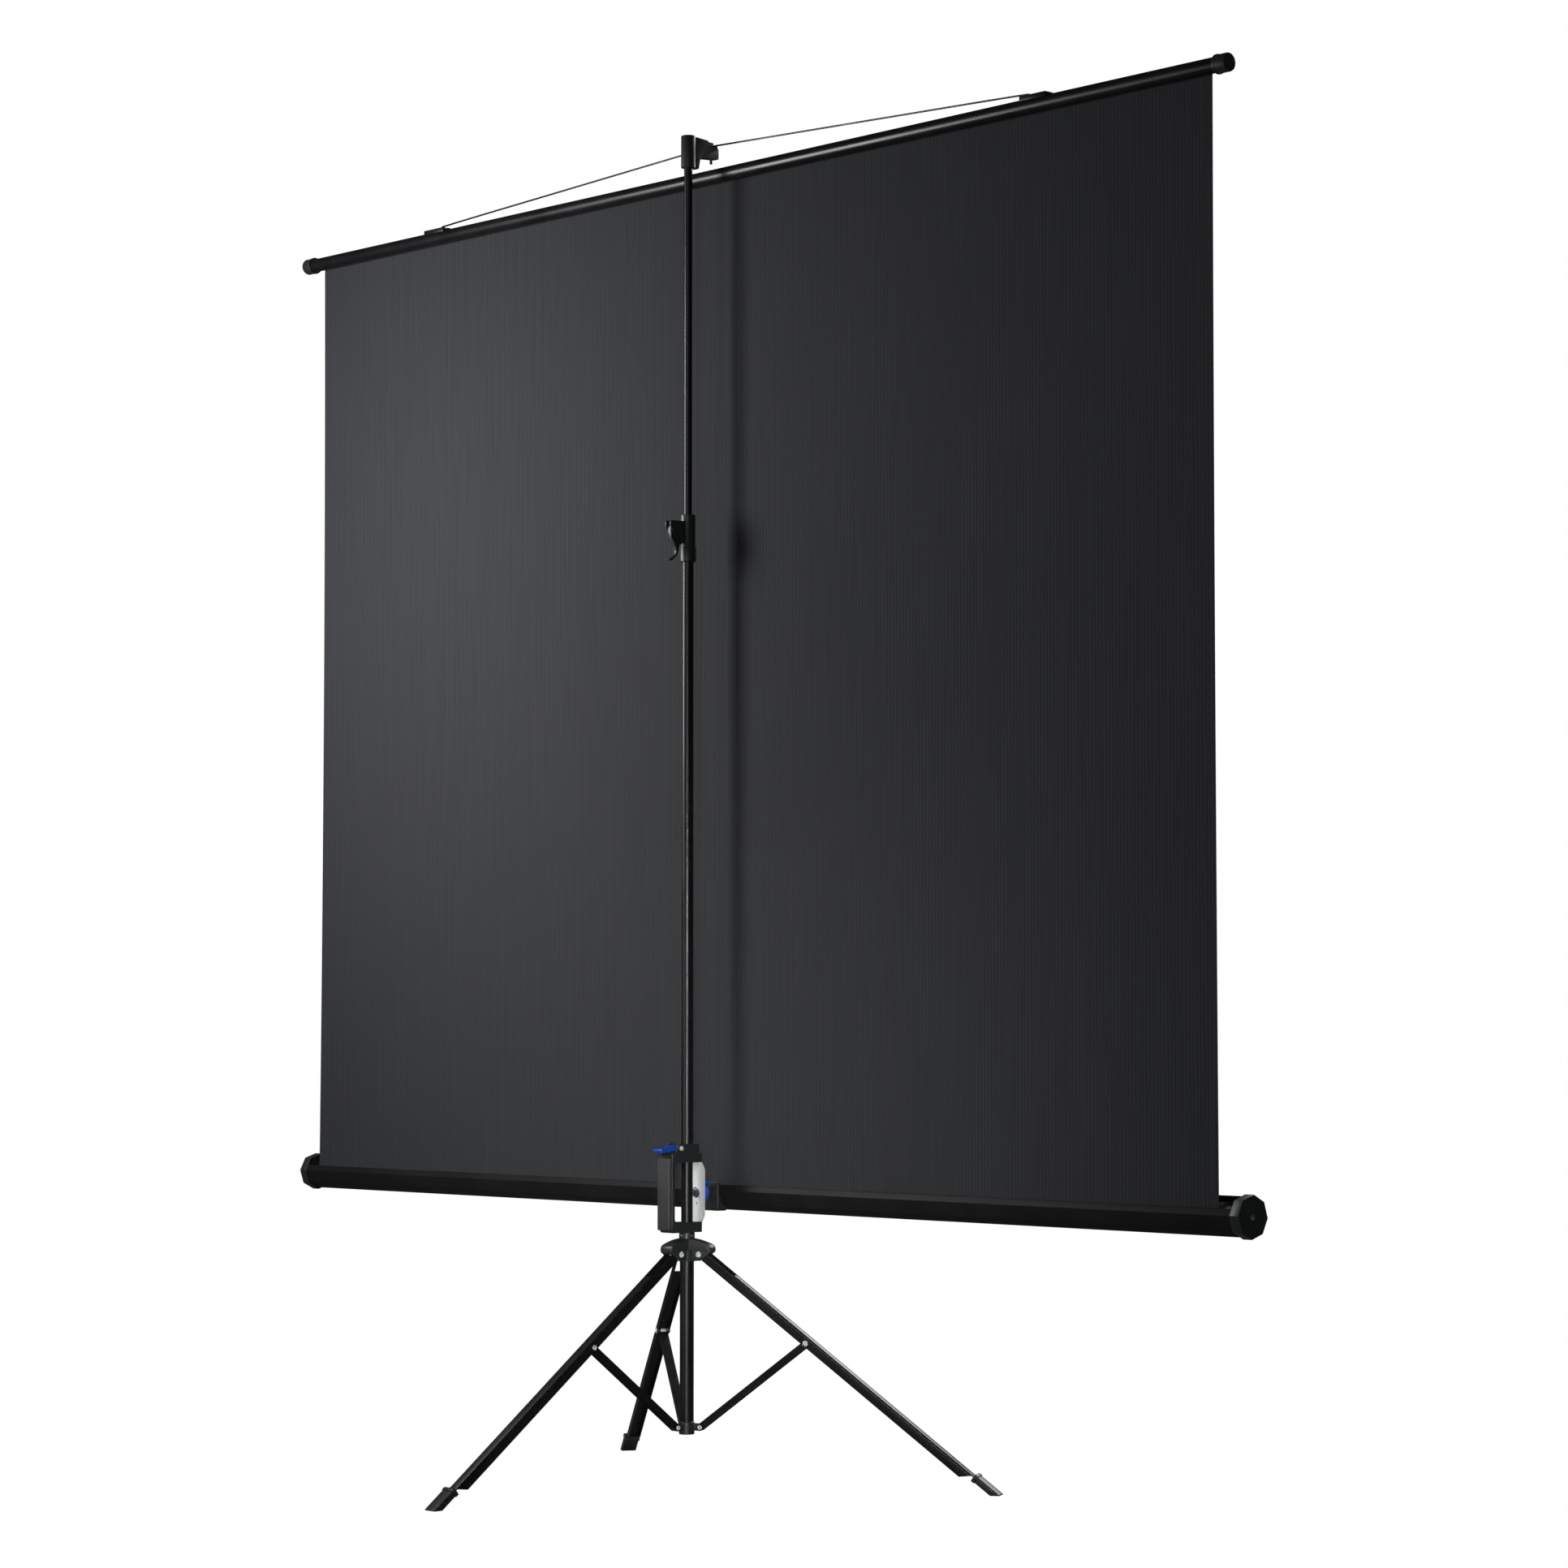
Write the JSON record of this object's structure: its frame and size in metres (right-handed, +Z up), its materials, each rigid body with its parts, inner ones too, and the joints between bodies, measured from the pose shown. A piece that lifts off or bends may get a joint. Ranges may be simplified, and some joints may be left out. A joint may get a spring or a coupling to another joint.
{
  "type": "tripod projection screen",
  "caption": "Portable projection screen on a folding tripod: telescoping hooked mast, sliding carrier with grip and levers, eight-sided roller case, rising cloth and round top bar.",
  "frame": {"origin": "middle of the bounding box on the floor", "axes": "+X along the top bar, +Y to the rear where the grip is, +Z up; the cloth faces -Y"},
  "size_m": [2.084, 0.7338, 2.026],
  "materials": {
    "black_paint": "gloss",
    "black_plastic": "satin",
    "grey_rubber": "ribbed",
    "blue_plastic": "gloss",
    "zinc": "zinc plated",
    "steel": "satin",
    "aluminium": "plain",
    "cloth": "black backing, white front"
  },
  "bodies": {
    "base": {"hub": "black_plastic", "base_tube": "black_paint", "hub_pin_rear": "steel", "hub_pin_left": "steel", "hub_pin_right": "steel", "mast_socket": "black_plastic", "socket_screw_rear": "steel", "socket_screw_side": "steel", "lower_mast": "black_paint", "latch_collar": "black_plastic", "latch_pin": "steel"},
    "leg_rear_body": {"leg_rear": "black_paint", "foot_rear": "black_plastic", "knee_pin_rear": "steel"},
    "leg_left_body": {"leg_left": "black_paint", "foot_left": "black_plastic", "knee_pin_left": "steel"},
    "leg_right_body": {"leg_right": "black_paint", "foot_right": "black_plastic", "knee_pin_right": "steel"},
    "strut_rear_body": {"strut_rear": "black_paint"},
    "strut_left_body": {"strut_left": "black_paint"},
    "strut_right_body": {"strut_right": "black_paint"},
    "collar": {"spreader_collar": "black_plastic", "guide_rod": "steel", "collar_pin_rear": "steel", "collar_pin_left": "steel", "collar_pin_right": "steel"},
    "carrier": {"carrier_frame": "black_plastic", "grip_pad": "grey_rubber", "lower_bush": "black_plastic", "upper_bush": "black_plastic", "brake_shoe": "black_plastic", "lever_pin": "steel", "pivot_bracket": "zinc", "pivot_bolt": "steel", "case_saddle": "black_plastic", "case_shell": "black_paint", "case_cap_left": "black_plastic", "case_cap_right": "black_plastic", "idle_pin": "steel", "spring_shaft": "steel", "roller_spring": "steel", "cloth": "cloth"},
    "roller": {"roller_tube": "aluminium", "roller_plug_left": "black_plastic", "roller_plug_right": "black_plastic", "wound_cloth": "cloth"},
    "screen_top": {"upper_mast": "black_paint", "mast_bush": "black_plastic", "mast_head": "black_plastic", "bail": "black_paint", "bail_clip_left": "black_paint", "bail_clip_right": "black_paint", "top_bar": "black_paint", "bar_cap_left": "black_plastic", "bar_cap_right": "black_plastic"},
    "release_lever_body": {"release_lever": "blue_plastic"},
    "swivel_lock_body": {"swivel_lock": "blue_plastic"},
    "latch_lever_body": {"latch_lever": "black_plastic"}
  },
  "joints": [
    {"name": "tripod_fold", "type": "hinge", "parent": "base", "child": "leg_rear_body", "pos_m": [0, -0.09312, 0.341], "axis": [-1, 0, 0], "range_deg": [0, 50]},
    {"name": "leg_left_hinge", "type": "hinge", "parent": "base", "child": "leg_left_body", "pos_m": [-0.01957, -0.12702, 0.341], "axis": [0.5, -0.866, 0], "range_deg": [0, 50]},
    {"name": "leg_right_hinge", "type": "hinge", "parent": "base", "child": "leg_right_body", "pos_m": [0.01957, -0.12702, 0.341], "axis": [0.5, 0.866, 0], "range_deg": [0, 50]},
    {"name": "strut_rear_hinge", "type": "hinge", "parent": "leg_rear_body", "child": "strut_rear_body", "pos_m": [0, 0.07203, 0.2129], "axis": [1, 0, 0], "range_deg": [0, 100]},
    {"name": "strut_left_hinge", "type": "hinge", "parent": "leg_left_body", "child": "strut_left_body", "pos_m": [-0.16259, -0.20959, 0.2129], "axis": [-0.5, 0.866, 0], "range_deg": [0, 100]},
    {"name": "strut_right_hinge", "type": "hinge", "parent": "leg_right_body", "child": "strut_right_body", "pos_m": [0.16259, -0.20959, 0.2129], "axis": [-0.5, -0.866, 0], "range_deg": [0, 100]},
    {"name": "collar_hinge", "type": "hinge", "parent": "strut_rear_body", "child": "collar", "pos_m": [0, -0.09312, 0.08481], "axis": [-1, 0, 0], "range_deg": [0, 50]},
    {"name": "case_lift", "type": "slide", "parent": "base", "child": "carrier", "axis": [0, 0, 1], "range_m": [0, 0.3]},
    {"name": "screen_height", "type": "slide", "parent": "carrier", "child": "screen_top", "axis": [0, 0, 1], "range_m": [-0.515, 0], "deforming": ["cloth"]},
    {"name": "roller_spin", "type": "hinge", "parent": "carrier", "child": "roller", "pos_m": [0, -0.19312, 0.4316], "axis": [1, 0, 0], "range_deg": [-1540, 0]},
    {"name": "release_lever", "type": "hinge", "parent": "carrier", "child": "release_lever_body", "pos_m": [0, -0.09242, 0.4986], "axis": [1, 0, 0], "range_deg": [0, 20], "stiffness_Nm_per_rad": 0.1, "springref_deg": -2.86},
    {"name": "swivel_lock", "type": "hinge", "parent": "carrier", "child": "swivel_lock_body", "pos_m": [0, -0.14572, 0.4316], "axis": [0, 1, 0], "range_deg": [0, 25], "stiffness_Nm_per_rad": 0.1, "springref_deg": -5.73},
    {"name": "mast_latch", "type": "hinge", "parent": "base", "child": "latch_lever_body", "pos_m": [0, -0.09572, 1.428], "axis": [1, 0, 0], "range_deg": [0, 85]}
  ],
  "couplings": [
    {"joint": "leg_left_hinge", "follows": "tripod_fold", "ratio": 1},
    {"joint": "leg_right_hinge", "follows": "tripod_fold", "ratio": 1},
    {"joint": "strut_rear_hinge", "follows": "tripod_fold", "ratio": 2},
    {"joint": "strut_left_hinge", "follows": "tripod_fold", "ratio": 2},
    {"joint": "strut_right_hinge", "follows": "tripod_fold", "ratio": 2},
    {"joint": "collar_hinge", "follows": "tripod_fold", "ratio": 1},
    {"joint": "roller_spin", "follows": "screen_height", "rad_per_m": 52.083}
  ]
}
